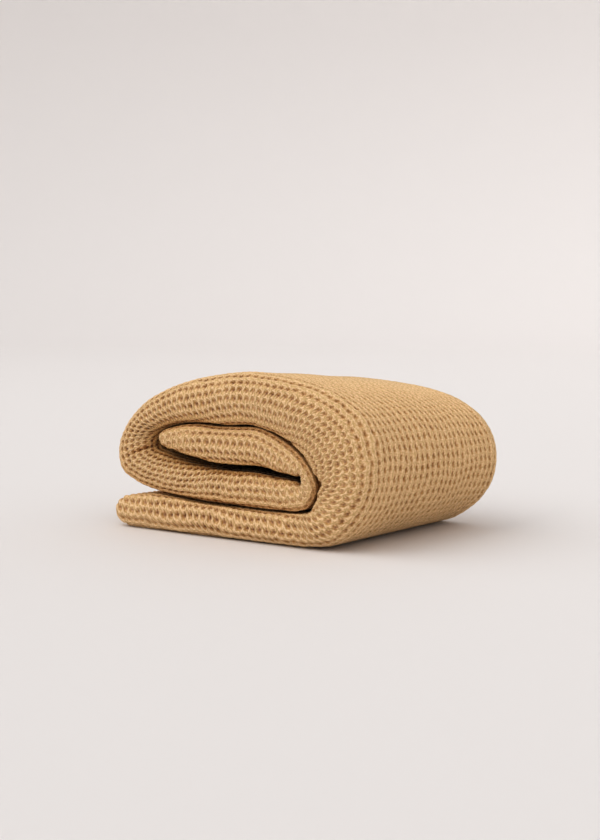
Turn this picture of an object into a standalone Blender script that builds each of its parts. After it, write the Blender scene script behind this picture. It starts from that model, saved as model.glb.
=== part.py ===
"""A waffle weave cotton blanket, folded into a long pad of sixteen plies and rolled up into a flat spiral.

The pad lies on the floor, turns up and back over itself at the right, down at the left and inwards once
more, so that four thicknesses of it lie over each other. X runs along the visible end of the roll, Y through
it from the folded front edge to the back, Z is up, and the origin is on the floor under the middle of the
roll. Lengths are in metres.
"""

import math

import bmesh
import bpy
import numpy as np

# The cloth, spread out: eight widths of the pad by twice its length.
PLIES_ACROSS = 8
PLIES_ALONG = 2

# How deep the roll is, from its front to its back.
ROLL_DEPTH_Y = 0.258

# The pad's folded front edge and its open back edge.
FRONT_FULLNESS = 0.85      # 1 makes the front edge half an ellipse, and less makes it fuller
FRONT_STEPS = 10           # straight steps round the front edge
FACE_STEPS = 4             # steps across each broad face
BIG_LIP_STEPS = 6          # steps round the biggest lip at the back
SMALL_LIP_STEPS = 4        # steps round each of the others
BACK_ROUNDING = 1.10       # depth of a lip's rounded end, as a share of half the lip's thickness
BACK_GAP = 0.10            # gap between two lips at the back, as a share of the pad's thickness
BACK_GAP_DEPTH = 0.016     # how far a gap runs on in behind the rounded ends

# The three lips at the back, from the outer face of the pad inwards: one fold of four plies, one fold of
# two, and the two hemmed plies. Each share is of the pad's thickness.
BACK_LIPS = (
    ("four-ply fold", 0.50),
    ("two-ply fold", 0.25),
    ("hemmed plies", 0.25),
)

LIPS_FADE = 0.030          # the lips merge over this distance from the pad's two ends

# The roll is lowest at the back: the height there, as a share of that at the front. Its middle stands a
# little above a straight line between the two, by this share.
BACK_HEIGHT_SHARE = 0.875
MIDDLE_RISE_SHARE = 0.008

# Soft unevenness: the whole roll leans in and out by this much, in waves of this length. It has all of it
# from this height up.
WAVE_DEPTH = 0.0016
WAVE_LENGTH = 0.150
WAVE_FULL_HEIGHT = 0.060

# The wedge between the two innermost layers is open at both ends of the roll, for this depth.
FILL_EDGE = 0.060

# Rounded ends of the pad, where its length starts on the floor and where it ends inside the roll.
START_ROUNDING = 0.021
END_ROUNDING = 0.008
CORNER_ROUNDING = 0.016
ROUNDING_STEPS = 5
CLOSEST_RINGS = 0.004
START_SHARE = 0.16         # share of the thickness left at the first ring, which is closed flat
END_SHARE = 0.34           # the same at the last ring

# Cuts across the pad, in order along it: where its outer and inner faces are, seen from the front, with X
# from the roll's left side. "fill" is how far the inner face bulges, away from the pad's two edges, into the
# wedge that opens between the two innermost layers.
CUTS = {
    # outer x  outer z  inner x  inner z  fill
    "floor layer": (
        (0.0030, 0.0030, 0.0030, 0.0340, 0.0000),
        (0.0300, 0.0000, 0.0300, 0.0358, 0.0000),
        (0.0560, 0.0000, 0.0560, 0.0390, 0.0000),
        (0.0860, 0.0000, 0.0860, 0.0380, 0.0000),
        (0.1280, 0.0000, 0.1280, 0.0354, 0.0000),
        (0.1800, 0.0000, 0.1810, 0.0344, 0.0000),
        (0.2300, 0.0000, 0.2300, 0.0346, 0.0000),
    ),
    "right fold": (
        (0.2680, 0.0005, 0.2620, 0.0368, 0.0000),
        (0.2970, 0.0055, 0.2780, 0.0405, 0.0000),
        (0.3180, 0.0180, 0.2880, 0.0490, 0.0000),
        (0.3360, 0.0380, 0.2920, 0.0580, 0.0000),
        (0.3480, 0.0640, 0.2930, 0.0665, 0.0000),
        (0.3525, 0.0910, 0.2880, 0.0755, 0.0000),
        (0.3480, 0.1170, 0.2810, 0.0855, 0.0000),
        (0.3330, 0.1400, 0.2710, 0.0960, 0.0000),
        (0.3060, 0.1580, 0.2580, 0.1050, 0.0000),
    ),
    "top layer": (
        (0.2700, 0.1700, 0.2400, 0.1120, 0.0000),
        (0.2300, 0.1765, 0.2180, 0.1182, 0.0000),
        (0.1900, 0.1778, 0.1940, 0.1222, 0.0000),
        (0.1500, 0.1735, 0.1600, 0.1205, 0.0000),
        (0.1120, 0.1655, 0.1260, 0.1217, 0.0000),
        (0.0760, 0.1530, 0.0970, 0.1188, 0.0000),
    ),
    "left fold": (
        (0.0400, 0.1350, 0.0710, 0.1110, 0.0000),
        (0.0140, 0.1110, 0.0560, 0.1045, 0.0045),
        (0.0020, 0.0860, 0.0510, 0.0965, 0.0070),
        (0.0060, 0.0640, 0.0560, 0.0880, 0.0060),
        (0.0270, 0.0510, 0.0710, 0.0822, 0.0045),
    ),
    "third layer": (
        (0.0620, 0.0418, 0.0960, 0.0774, 0.0034),
        (0.1050, 0.0388, 0.1260, 0.0735, 0.0033),
        (0.1550, 0.0370, 0.1580, 0.0720, 0.0024),
        (0.2000, 0.0362, 0.1960, 0.0722, 0.0023),
        (0.2360, 0.0370, 0.2260, 0.0695, 0.0028),
    ),
    "inner fold": (
        (0.2600, 0.0396, 0.2465, 0.0660, 0.0034),
        (0.2755, 0.0455, 0.2575, 0.0630, 0.0018),
        (0.2835, 0.0560, 0.2605, 0.0645, 0.0000),
        (0.2855, 0.0665, 0.2608, 0.0680, 0.0000),
        (0.2805, 0.0780, 0.2606, 0.0712, 0.0000),
        (0.2700, 0.0895, 0.2580, 0.0735, 0.0018),
        (0.2560, 0.1002, 0.2480, 0.0748, 0.0030),
    ),
    "inner layer": (
        (0.2350, 0.1100, 0.2300, 0.0768, 0.0028),
        (0.2060, 0.1190, 0.2060, 0.0790, 0.0023),
        (0.1780, 0.1185, 0.1780, 0.0780, 0.0023),
        (0.1500, 0.1182, 0.1500, 0.0788, 0.0024),
        (0.1250, 0.1192, 0.1250, 0.0820, 0.0033),
        (0.1000, 0.1168, 0.1000, 0.0868, 0.0034),
        (0.0780, 0.1105, 0.0800, 0.0912, 0.0030),
        (0.0635, 0.1055, 0.0655, 0.0935, 0.0000),
    ),
}
STEPS_BETWEEN_CUTS = 2

# The edges of each stretch at its middle. "set_back" is how far the folded front edge lies behind the front
# of the roll, and "outer_r" and "inner_r" are how deep it is rounded on the pad's outer and inner side.
EDGES = {
    #               set_back  outer_r  inner_r
    "floor layer": (0.000, 0.014, 0.014),
    "right fold": (0.001, 0.034, 0.012),
    "top layer": (0.002, 0.026, 0.018),
    "left fold": (0.005, 0.020, 0.018),
    "third layer": (0.004, 0.015, 0.015),
    "inner fold": (0.004, 0.012, 0.011),
    "inner layer": (0.006, 0.016, 0.015),
}
START_EDGES = (0.001, 0.013, 0.013)
END_EDGES = (0.008, 0.006, 0.006)

CLOTH_COLOUR = (0.55, 0.36, 0.18, 1.0)
CLOTH_ROUGHNESS = 0.9
SHARP_ANGLE_DEG = 50


def clear_scene():
    """Removes every object of the scene."""
    for old in list(bpy.data.objects):
        bpy.data.objects.remove(old, do_unlink=True)


def faces_of_cuts():
    """All cuts in order, one row a cut: outer x, outer z, inner x, inner z, fill."""
    return np.array([cut for stretch in CUTS.values() for cut in stretch])


def along_pad(faces):
    """The distance along the middle of the pad at which each cut lies."""
    middle = (faces[:, 0:2] + faces[:, 2:4]) / 2
    return np.concatenate([[0.0], np.cumsum(np.linalg.norm(np.diff(middle, axis=0), axis=1))])


def edge_columns(at, places):
    """Set-back and roundings at distances along the pad, on straight lines between the middles of the
    stretches."""
    counts = np.cumsum([0] + [len(stretch) for stretch in CUTS.values()])
    middles = [(at[first] + at[last - 1]) / 2 for first, last in zip(counts[:-1], counts[1:])]
    known_at = [at[0]] + middles + [at[-1]]
    known = np.array([START_EDGES] + [EDGES[name] for name in CUTS] + [END_EDGES])
    return np.stack([np.interp(places, known_at, column) for column in known.T], axis=1)


def smooth_faces(faces, at, places):
    """The faces and the fill at distances between the cuts, on cubic curves that pass through every cut.

    Between two cuts each value is a Hermite cubic, with the slopes of the chords over the neighbouring cuts.
    """
    slope = np.gradient(faces, at, axis=0)
    k = np.clip(np.searchsorted(at, places, side="right") - 1, 0, len(at) - 2)
    span = (at[k + 1] - at[k])[:, None]
    t = (places - at[k])[:, None] / span
    rise = t * t * (3 - 2 * t)
    leave = t * (1 - t) ** 2 * span
    arrive = t * t * (t - 1) * span
    return faces[k] + (faces[k + 1] - faces[k]) * rise + slope[k] * leave + slope[k + 1] * arrive


def ring_places(at):
    """The distances along the pad of all rings: close together round its two ends, even between two cuts."""
    start_turn = np.linspace(math.asin(START_SHARE), math.pi / 2, ROUNDING_STEPS)
    end_turn = np.linspace(math.asin(END_SHARE), math.pi / 2, ROUNDING_STEPS)
    start = START_ROUNDING * (1 - np.cos(start_turn))
    end = at[-1] - END_ROUNDING * (1 - np.cos(end_turn))
    inside = np.concatenate(
        [np.linspace(a, b, STEPS_BETWEEN_CUTS, endpoint=False) for a, b in zip(at[:-1], at[1:])]
    )
    inside = inside[(inside > start[-1] + CLOSEST_RINGS) & (inside < end[-1] - CLOSEST_RINGS)]
    return np.concatenate([start, inside, end[::-1]])


def end_share(place, length):
    """The share of the pad's full thickness at a distance along it: an ellipse's quarter at each end."""
    from_start = np.clip(1 - place / START_ROUNDING, 0, 1)
    from_end = np.clip(1 - (length - place) / END_ROUNDING, 0, 1)
    return np.sqrt(1 - np.maximum(from_start, from_end) ** 2)


def corner_set_back(place, length):
    """How far the front and back edges draw in at the pad's rounded corners, as a quarter circle."""
    from_tip = np.clip(1 - np.minimum(place, length - place) / CORNER_ROUNDING, 0, 1)
    return CORNER_ROUNDING * (1 - np.sqrt(1 - from_tip**2))


def front_edge(outer_r, inner_r):
    """Points round the folded front edge, from the outer face to the inner one: depth behind the edge, and
    place across the thickness, from 1 at the outer face to -1 at the inner one. Each half is a quarter
    ellipse, filled out a little."""
    turn = np.linspace(math.pi / 2, -math.pi / 2, FRONT_STEPS + 1)
    return [
        ((outer_r if a > 0 else inner_r) * (1 - math.cos(a) ** FRONT_FULLNESS), math.sin(a)) for a in turn
    ]


def back_edge(thickness, gap_depth, lips_show):
    """Points round the lips of the back edge, from the inner face to the outer one: distance in from the
    back edge, and place across the thickness. A lip ends in half an ellipse, and a gap is a narrow wedge.
    Where lips_show falls from 1 to 0, near the pad's two ends, they merge into one half ellipse."""
    points = []
    low = -1.0
    biggest = max(share for _, share in BACK_LIPS)
    for number, (_, share) in enumerate(reversed(BACK_LIPS)):
        high = low + 2 * share
        bottom = low + (BACK_GAP if number else 0.0)
        top = high - (BACK_GAP if number < len(BACK_LIPS) - 1 else 0.0)
        middle, half = (bottom + top) / 2, (top - bottom) / 2
        rounding = BACK_ROUNDING * half * thickness / 2
        steps = BIG_LIP_STEPS if share == biggest else SMALL_LIP_STEPS
        for a in np.linspace(-math.pi / 2, math.pi / 2, steps + 1):
            points.append((rounding * (1 - math.cos(a)), middle + half * math.sin(a)))
        if number < len(BACK_LIPS) - 1:
            points.append((rounding + gap_depth, high))
        low = high
    whole = BACK_ROUNDING * thickness / 2
    return [
        (lips_show * inward + (1 - lips_show) * whole * (1 - math.sqrt(1 - min(1.0, across**2))), across)
        for inward, across in points
    ]


def ring_outline(thickness, outer_r, inner_r, lips_show):
    """One closed outline across the pad, as (edge, distance in from that edge, place across the thickness).

    It starts on the outer face, runs round the front edge, back over the inner face and round the lips.
    """
    depth = ROLL_DEPTH_Y / 2
    outline = [("front", inward, across) for inward, across in front_edge(outer_r, inner_r)]
    back = back_edge(thickness, BACK_GAP_DEPTH, lips_show)
    faces = np.linspace(0, 1, FACE_STEPS + 1)[1:-1]
    inner = [("middle", (2 * f - 1) * (depth - inner_r), -1.0) for f in faces]
    outer = [("middle", (1 - 2 * f) * (depth - outer_r), 1.0) for f in faces]
    return outline + inner + [("back", inward, across) for inward, across in back] + outer


def eased(value):
    """A smooth step from 0 to 1, as the value goes from 0 to 1."""
    held = min(1.0, max(0.0, value))
    return held * held * (3 - 2 * held)


def height_share(y):
    """The roll's height at a depth, as a share of that at the front: a straight fall and a low rise on it."""
    s = y / ROLL_DEPTH_Y + 0.5
    return 1 + (BACK_HEIGHT_SHARE - 1) * s + 4 * MIDDLE_RISE_SHARE * s * (1 - s)


def filled(y):
    """The share of an inner face's bulge at a depth: none at the two edges, all of it past FILL_EDGE."""
    return eased((ROLL_DEPTH_Y / 2 - abs(y)) / FILL_EDGE)


def uneven(x, y, z):
    """How far the roll's soft unevenness moves a place in X and in Z: crossed waves that all layers share,
    so that these stay as far apart as before. It is none on the floor."""
    lifted = min(1.0, z / WAVE_FULL_HEIGHT)
    along = math.sin(2 * math.pi * y / WAVE_LENGTH + 0.9)
    across = math.cos(2 * math.pi * (x + y / 2) / WAVE_LENGTH + 0.4)
    return WAVE_DEPTH * lifted * along, WAVE_DEPTH / 2 * lifted * across * along


def lips_showing(place, length):
    """How far the lips stand apart at a distance along the pad: not at its ends, fully past LIPS_FADE."""
    return eased(min(place, length - place) / LIPS_FADE)


def ring_points(place, faces, edges, length):
    """The points of one ring across the pad, in the roll's own place."""
    outer_x, outer_z, inner_x, inner_z, fill = faces
    set_back, outer_r, inner_r = edges
    share = end_share(place, length)
    middle = np.array([outer_x + inner_x, outer_z + inner_z]) / 2
    half = np.array([outer_x - inner_x, outer_z - inner_z]) / 2 * share
    thickness = 2 * float(np.linalg.norm(half))
    front = -ROLL_DEPTH_Y / 2 + set_back + corner_set_back(place, length)
    back = ROLL_DEPTH_Y / 2 - set_back / 2 - corner_set_back(place, length)
    outward = half / (thickness / 2)
    points = []
    for edge, inward, across in ring_outline(thickness, outer_r, inner_r, lips_showing(place, length)):
        y = {"front": front + inward, "middle": inward, "back": back - inward}[edge]
        bulge = fill * share * filled(y) * max(0.0, -across)
        x, z = middle + half * across - bulge * outward
        shift_x, shift_z = uneven(x, y, z)
        points.append((x + shift_x, y, z * height_share(y) + shift_z))
    return points


def build_blanket():
    """Joins the rings into one closed solid and closes its two ends flat."""
    cuts = faces_of_cuts()
    at = along_pad(cuts)
    places = ring_places(at)
    faces = smooth_faces(cuts, at, places)
    faces[:, 1] = np.maximum(faces[:, 1], 0.0)
    shape = bmesh.new()
    rings = [
        [shape.verts.new(point) for point in ring_points(place, face_row, edge_row, at[-1])]
        for place, face_row, edge_row in zip(places, faces, edge_columns(at, places))
    ]
    for ring, following in zip(rings[:-1], rings[1:]):
        for k in range(len(ring)):
            n = (k + 1) % len(ring)
            shape.faces.new((ring[k], ring[n], following[n], following[k]))
    shape.faces.new(rings[0][::-1])
    shape.faces.new(rings[-1])
    bmesh.ops.triangulate(shape, faces=shape.faces[:])
    bmesh.ops.recalc_face_normals(shape, faces=shape.faces[:])
    mesh = bpy.data.meshes.new("blanket")
    shape.to_mesh(mesh)
    shape.free()
    return mesh, at[-1]


def centre_on_floor(mesh):
    """Moves the roll so that its box is centred over the origin and stands on the floor."""
    corners = np.array([v.co for v in mesh.vertices])
    low, high = corners.min(0), corners.max(0)
    shift = ((low + high) / 2 * (1, 1, 0)) + low * (0, 0, 1)
    for vertex in mesh.vertices:
        vertex.co = [a - b for a, b in zip(vertex.co, shift)]
    return high - low


def cloth_material():
    """Plain camel cotton."""
    material = bpy.data.materials.new("camel_cotton")
    material.use_nodes = True
    shader = material.node_tree.nodes["Principled BSDF"]
    shader.inputs["Base Color"].default_value = CLOTH_COLOUR
    shader.inputs["Roughness"].default_value = CLOTH_ROUGHNESS
    shader.inputs["Metallic"].default_value = 0.0
    return material


def main():
    clear_scene()
    mesh, pad_length = build_blanket()
    size = centre_on_floor(mesh)
    mesh.shade_smooth()
    mesh.set_sharp_from_angle(angle=math.radians(SHARP_ANGLE_DEG))
    mesh.materials.append(cloth_material())
    blanket = bpy.data.objects.new("blanket", mesh)
    bpy.context.scene.collection.objects.link(blanket)
    print("roll", [round(float(side), 4) for side in size])
    print("cloth", round(PLIES_ACROSS * ROLL_DEPTH_Y, 2), "by", round(PLIES_ALONG * float(pad_length), 2))


main()
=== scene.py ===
"""The looks of a waffle weave cotton blanket, folded into a thick pad and rolled up into a flat spiral.

The outermost ply shows nearly everywhere. It runs as a tube round the pad: over its outer face, round the
folded front edge, back over its inner face and round the folded lips at the back. Its surface is one grid:
rows go along the pad, from the end on the floor to the end inside the roll, and columns go round the pad.
The pits of the weave are pressed into that grid, and the pieces are cut from it. Lengths are in metres, X
runs along the visible end of the roll, Y through it from front to back, and Z is up.
"""

import math

import bmesh
import bpy
import numpy as np
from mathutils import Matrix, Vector


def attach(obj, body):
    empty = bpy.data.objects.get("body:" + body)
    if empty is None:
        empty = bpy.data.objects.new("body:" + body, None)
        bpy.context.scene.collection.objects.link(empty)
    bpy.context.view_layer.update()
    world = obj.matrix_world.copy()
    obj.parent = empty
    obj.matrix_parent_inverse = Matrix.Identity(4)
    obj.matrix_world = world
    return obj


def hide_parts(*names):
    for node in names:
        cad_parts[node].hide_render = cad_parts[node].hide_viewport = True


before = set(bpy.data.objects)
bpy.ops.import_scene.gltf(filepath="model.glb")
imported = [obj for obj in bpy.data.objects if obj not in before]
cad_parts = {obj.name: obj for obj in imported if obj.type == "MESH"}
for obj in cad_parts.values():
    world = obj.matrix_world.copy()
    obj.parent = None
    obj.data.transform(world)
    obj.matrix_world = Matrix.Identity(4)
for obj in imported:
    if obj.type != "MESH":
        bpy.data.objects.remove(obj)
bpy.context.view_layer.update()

# ------------------------------------------------------------------------
# The roll
# ------------------------------------------------------------------------

ROLL_DEPTH = 0.258         # from the front of the roll to its back
FRONT_FULLNESS = 0.85      # 1 makes the front edge half an ellipse, and less makes it fuller
BACK_ROUNDING = 1.10       # depth of a lip's rounded end, as a share of half the lip's thickness
BACK_GAP = 0.10            # gap between two lips at the back, as a share of the pad's thickness
BACK_GAP_DEPTH = 0.016     # how far a gap runs on in behind the rounded ends

# The lips at the back, from the inner face of the pad outwards, as shares of its thickness.
LIPS = (("hemmed plies", 0.25), ("two-ply fold", 0.25), ("four-ply fold", 0.50))
LIPS_FADE = 0.030          # the lips merge over this distance from the pad's two ends

BACK_HEIGHT_SHARE = 0.868  # the roll's height at the back, as a share of that at the front
MIDDLE_RISE_SHARE = 0.008  # how much its middle stands above a straight line between the two
WAVE_DEPTH = 0.0016        # how far soft waves move the whole roll in X, and half as far in Z
WAVE_LENGTH = 0.150
WAVE_PHASES = (0.9, 0.4)
WAVE_FULL_HEIGHT = 0.060   # they grow up to this height, and the roll stands flat on the floor
BACK_LIFT = 0.003          # how far the underside of the right fold lifts towards the back
BACK_LIFT_FROM = 0.275     # from this X on
BACK_LIFT_RISE = 0.045     # and fully so further on by this much
BACK_LIFT_HEIGHT = 0.080   # it fades out up to this height
FILL_EDGE = 0.060          # the wedge inside the roll is open at its front and back for this depth
START_ROUNDING = 0.021     # length of the pad's rounded end on the floor
END_ROUNDING = 0.008       # and of the one inside the roll
CORNER_ROUNDING = 0.016    # radius of the corners of both ends, seen from above

# Cuts across the pad, in order along it: its outer and inner faces seen from the front, with X from the
# roll's left side, and how far the inner face bulges into the wedge between the two innermost layers.
CUTS = {
    # outer x  outer z  inner x  inner z  fill
    "floor layer": (
        (0.0030, 0.0030, 0.0030, 0.0340, 0.0000),
        (0.0300, 0.0000, 0.0300, 0.0358, 0.0000),
        (0.0560, 0.0000, 0.0560, 0.0390, 0.0000),
        (0.0860, 0.0000, 0.0860, 0.0380, 0.0000),
        (0.1280, 0.0000, 0.1280, 0.0354, 0.0000),
        (0.1800, 0.0000, 0.1810, 0.0344, 0.0000),
        (0.2300, 0.0000, 0.2300, 0.0346, 0.0000),
    ),
    "right fold": (
        (0.2680, 0.0005, 0.2620, 0.0368, 0.0000),
        (0.2970, 0.0055, 0.2725, 0.0400, 0.0000),
        (0.3180, 0.0180, 0.2795, 0.0480, 0.0000),
        (0.3360, 0.0380, 0.2828, 0.0595, 0.0000),
        (0.3480, 0.0640, 0.2868, 0.0695, 0.0000),
        (0.3525, 0.0910, 0.2796, 0.0776, 0.0000),
        (0.3480, 0.1170, 0.2730, 0.0848, 0.0000),
        (0.3330, 0.1400, 0.2650, 0.0944, 0.0000),
        (0.3060, 0.1580, 0.2555, 0.1032, 0.0000),
    ),
    "top layer": (
        (0.2700, 0.1700, 0.2400, 0.1120, 0.0000),
        (0.2300, 0.1765, 0.2180, 0.1182, 0.0000),
        (0.1900, 0.1785, 0.1940, 0.1222, 0.0000),
        (0.1500, 0.1750, 0.1600, 0.1205, 0.0000),
        (0.1110, 0.1680, 0.1260, 0.1217, 0.0000),
        (0.0740, 0.1556, 0.0970, 0.1188, 0.0000),
    ),
    "left fold": (
        (0.0385, 0.1365, 0.0735, 0.1120, 0.0000),
        (0.0132, 0.1118, 0.0610, 0.1055, 0.0025),
        (0.0015, 0.0860, 0.0565, 0.0970, 0.0030),
        (0.0060, 0.0635, 0.0600, 0.0885, 0.0030),
        (0.0270, 0.0500, 0.0735, 0.0845, 0.0030),
    ),
    "third layer": (
        (0.0620, 0.0418, 0.0960, 0.0785, 0.0024),
        (0.1050, 0.0388, 0.1260, 0.0748, 0.0020),
        (0.1550, 0.0370, 0.1580, 0.0732, 0.0015),
        (0.2000, 0.0362, 0.1960, 0.0728, 0.0016),
        (0.2360, 0.0370, 0.2260, 0.0708, 0.0016),
    ),
    "inner fold": (
        (0.2570, 0.0385, 0.2440, 0.0700, 0.0014),
        (0.2705, 0.0440, 0.2560, 0.0688, 0.0010),
        (0.2778, 0.0550, 0.2600, 0.0695, 0.0000),
        (0.2800, 0.0665, 0.2608, 0.0702, 0.0000),
        (0.2760, 0.0780, 0.2602, 0.0722, 0.0000),
        (0.2670, 0.0890, 0.2570, 0.0738, 0.0018),
        (0.2540, 0.1000, 0.2460, 0.0752, 0.0024),
    ),
    "inner layer": (
        (0.2350, 0.1100, 0.2300, 0.0768, 0.0028),
        (0.2060, 0.1197, 0.2060, 0.0802, 0.0023),
        (0.1780, 0.1198, 0.1780, 0.0794, 0.0023),
        (0.1500, 0.1193, 0.1500, 0.0802, 0.0024),
        (0.1250, 0.1203, 0.1250, 0.0832, 0.0033),
        (0.1000, 0.1178, 0.1000, 0.0876, 0.0034),
        (0.0770, 0.1112, 0.0790, 0.0912, 0.0030),
        (0.0625, 0.1055, 0.0645, 0.0935, 0.0000),
    ),
}

# What each stretch of the pad is like at its middle. "set back" is how far its front edge lies behind the
# front of the roll, "outer r" and "inner r" how deep that edge is rounded, and "pitch" the length of a cell
# of the weave along the outer face. On the front edge, "lean out" and "lean in" are how many cells the weave
# shifts from the middle of the edge to its outer and inner side, "twist" how far its ribs turn to one side
# and back in each cell, "cross" how far the ribs that cross the edge stand above the others, and "wide" how
# much longer its cells are across the edge. "relief" is how deep the pits are, as a share of PIT_DEPTH. The
# two shades are how much shade is painted on the outer and inner faces behind the front edge, where the
# next layer lies close on them.
STRETCHES = {
    # set back, outer r, inner r, pitch, lean out, lean in, twist, cross, wide, relief, shade out, shade in
    "start": (0.001, 0.013, 0.013, 0.0093, 0.80, 0.20, 0.00, 0.60, 1.10, 0.75, 0.0, 0.0),
    "floor layer": (0.000, 0.014, 0.009, 0.0093, 1.90, 0.30, 0.05, 0.90, 1.25, 1.00, 0.0, 0.5),
    "right fold": (0.001, 0.026, 0.009, 0.0103, 0.30, 1.20, 0.04, 0.35, 1.05, 0.90, 0.0, 0.4),
    "top layer": (0.002, 0.026, 0.010, 0.0097, 0.60, 1.20, 0.06, 0.85, 1.00, 0.90, 0.0, 0.7),
    "left fold": (0.005, 0.020, 0.018, 0.0096, 0.10, 0.70, 0.02, 0.80, 0.95, 1.15, 0.0, 0.45),
    "third layer": (0.004, 0.010, 0.014, 0.0093, 0.45, -0.70, 0.06, 0.75, 0.90, 1.05, 1.0, 1.0),
    "inner fold": (0.003, 0.008, 0.009, 0.0105, 0.00, 0.00, 0.00, 0.50, 1.00, 0.50, 0.5, 1.0),
    "inner layer": (0.003, 0.012, 0.008, 0.0093, -0.50, 0.60, -0.06, 0.75, 0.95, 1.00, 0.6, 1.0),
    "end": (0.005, 0.008, 0.006, 0.0093, 0.00, 0.00, 0.00, 0.50, 1.00, 0.40, 1.0, 1.0),
}
SET_BACK, OUTER_R, INNER_R, PITCH, LEAN_OUT, LEAN_IN = range(6)
TWIST, CROSS, WIDE, RELIEF, SHADE_OUT, SHADE_IN = range(6, 12)

# ------------------------------------------------------------------------
# The weave and the grid
# ------------------------------------------------------------------------

PITCH_ACROSS = 0.0096      # width of a cell of the weave, from rib to rib
PIT_DEPTH = 0.0038         # how deep the pits are
PIT_ALONG = (0.32, 0.22)   # half width of a pit along the pad, in cells, on the faces and on the front edge
PIT_ACROSS = (0.19, 0.20)  # the same round the pad
PIT_FILLED = 0.35          # a pit is filled up by a share between 0 and this
PIT_SCALE = (0.85, 1.15)   # and its size is between these
PIT_REPEAT = (97, 89)      # after so many cells, along and across, the same pits come again
BETWEEN_RIBS = 0.44        # height of the cloth at the brink of a pit, as a share of that of a crossing
HIGH_RIB = 0.88            # the same for a rib that stands out, midway between two crossings
LOW_RIB = 0.56             # and for a rib that doesn't
LEAST_CROSS = 0.60         # the ribs across the front edge rise at least this share of the way to high
FACE_RELIEF = 0.74         # depth of the pits on the faces, as a share of that on the front edge
LIP_RELIEF = 0.70          # depth of the pits on the lips at the back, as a share of that on the faces
LEAST_SQUEEZED = 0.80      # the pits stay at least this deep where the inside of a fold squeezes them
WORN = (0.14, 0.045)       # how unevenly deep the pits are, as a share, and over which length
LOOK_KEPT = 0.40           # the weave keeps the front edge's look for this share of the way to the inner face
LOOK_ENDS = 0.66           # and loses it over this share of the way to the outer face
STEPS_IN_CELL = 8          # grid steps along a cell
TIP_POINTS = 60            # points at which cells are counted along a rounded end of the pad
RUN_POINTS = 3000          # and between the two

# How far the rows of the weave wander, in cells, and over which lengths.
WANDER_ALONG = ((0.12, 0.060), (0.07, 0.021))
WANDER_ACROSS = ((0.12, 0.080), (0.07, 0.021))

# The seeds of the random draws. What wanders takes the next seed as well.
WANDER_ALONG_SEED = 11
WANDER_ACROSS_SEED = 13
WORN_SEED = 15
PITS_SEED = 21

NOISE_WAVES = 7            # plane waves in the soft noise
NOISE_LENGTHS = (0.7, 1.4)  # their lengths lie between these shares of the given one
LEAST_NORMAL = 1e-12       # keeps the division defined where the pad's ends come to a line

# Painted shade between two layers, where the next one lies close:
SHADE_FROM = 0.002         # how far in from the roll's front and back the dark between two layers begins
SHADE_RISE = 0.016         # and over which distance it gets full
CREASE_REACH = 0.040       # how far in from the front of the roll the creases fade out
ANCHOR_CUT = 11            # the rows of the weave run level through the roll at this cut, on the right fold

# Soft creases in the front edge, beside those that the folds make: the two ends of the crease in X and Z,
# its half width, its depth, and how much shade is painted in it. X is counted from the roll's left side.
CREASES = (
    ((0.2612, 0.0735), (0.2585, 0.0540), 0.0030, 0.0045, 0.20),
    ((0.0600, 0.0930), (0.0180, 0.0760), 0.0020, 0.0060, 0.55),
    ((0.0320, 0.0260), (0.0560, 0.0420), 0.0035, 0.0016, 0.00),
)

OUTER_COLUMNS = 224        # grid steps across the outer face, from the back to the front
FRONT_COLUMNS = 72         # round the front edge
INNER_COLUMNS = 216        # across the inner face
LIP_COLUMNS = {"hemmed plies": 10, "two-ply fold": 10, "four-ply fold": 18}
GAP_COLUMNS = 3            # down one side of a gap between two lips

FRONT_END = OUTER_COLUMNS + FRONT_COLUMNS
INNER_END = FRONT_END + INNER_COLUMNS

# The weave's count of cells round the pad has its seam here, at the bottom of the gap between two lips.
SEAM_COLUMN = INNER_END + LIP_COLUMNS["hemmed plies"] + LIP_COLUMNS["two-ply fold"] + 3 * GAP_COLUMNS


def cut_rows():
    """All cuts in order, one row a cut: outer x, outer z, inner x, inner z, fill."""
    return np.array([cut for stretch in CUTS.values() for cut in stretch])


def cut_places(cuts):
    """The distance along the middle of the pad of each cut: the chords' lengths, added up."""
    middle = (cuts[:, 0:2] + cuts[:, 2:4]) / 2
    return np.concatenate([[0.0], np.cumsum(np.linalg.norm(np.diff(middle, axis=0), axis=1))])


def stretch_values(at, places):
    """The columns of STRETCHES at places along the pad, on straight lines between the stretches' middles."""
    counts = np.cumsum([0] + [len(cuts) for cuts in CUTS.values()])
    middles = [(at[first] + at[last - 1]) / 2 for first, last in zip(counts[:-1], counts[1:])]
    known_at = [at[0]] + middles + [at[-1]]
    return np.stack([np.interp(places, known_at, column) for column in np.array(list(STRETCHES.values())).T])


def smooth_cuts(cuts, at, places):
    """The section at places along the pad: a Hermite cubic between each two cuts, with the slopes of the
    chords over their neighbours. The outer face stays on the floor."""
    slope = np.gradient(cuts, at, axis=0)
    k = np.clip(np.searchsorted(at, places, side="right") - 1, 0, len(at) - 2)
    span = (at[k + 1] - at[k])[:, None]
    t = (places - at[k])[:, None] / span
    rise = t * t * (3 - 2 * t)
    leave = t * (1 - t) ** 2 * span
    arrive = t * t * (t - 1) * span
    found = cuts[k] + (cuts[k + 1] - cuts[k]) * rise + slope[k] * leave + slope[k + 1] * arrive
    found[:, 1] = np.maximum(found[:, 1], 0.0)
    return found


def end_share(places, length):
    """The share of the pad's full thickness: a quarter of an ellipse at each end."""
    from_start = np.clip(1 - places / START_ROUNDING, 0, 1)
    from_end = np.clip(1 - (length - places) / END_ROUNDING, 0, 1)
    return np.sqrt(1 - np.maximum(from_start, from_end) ** 2)


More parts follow.
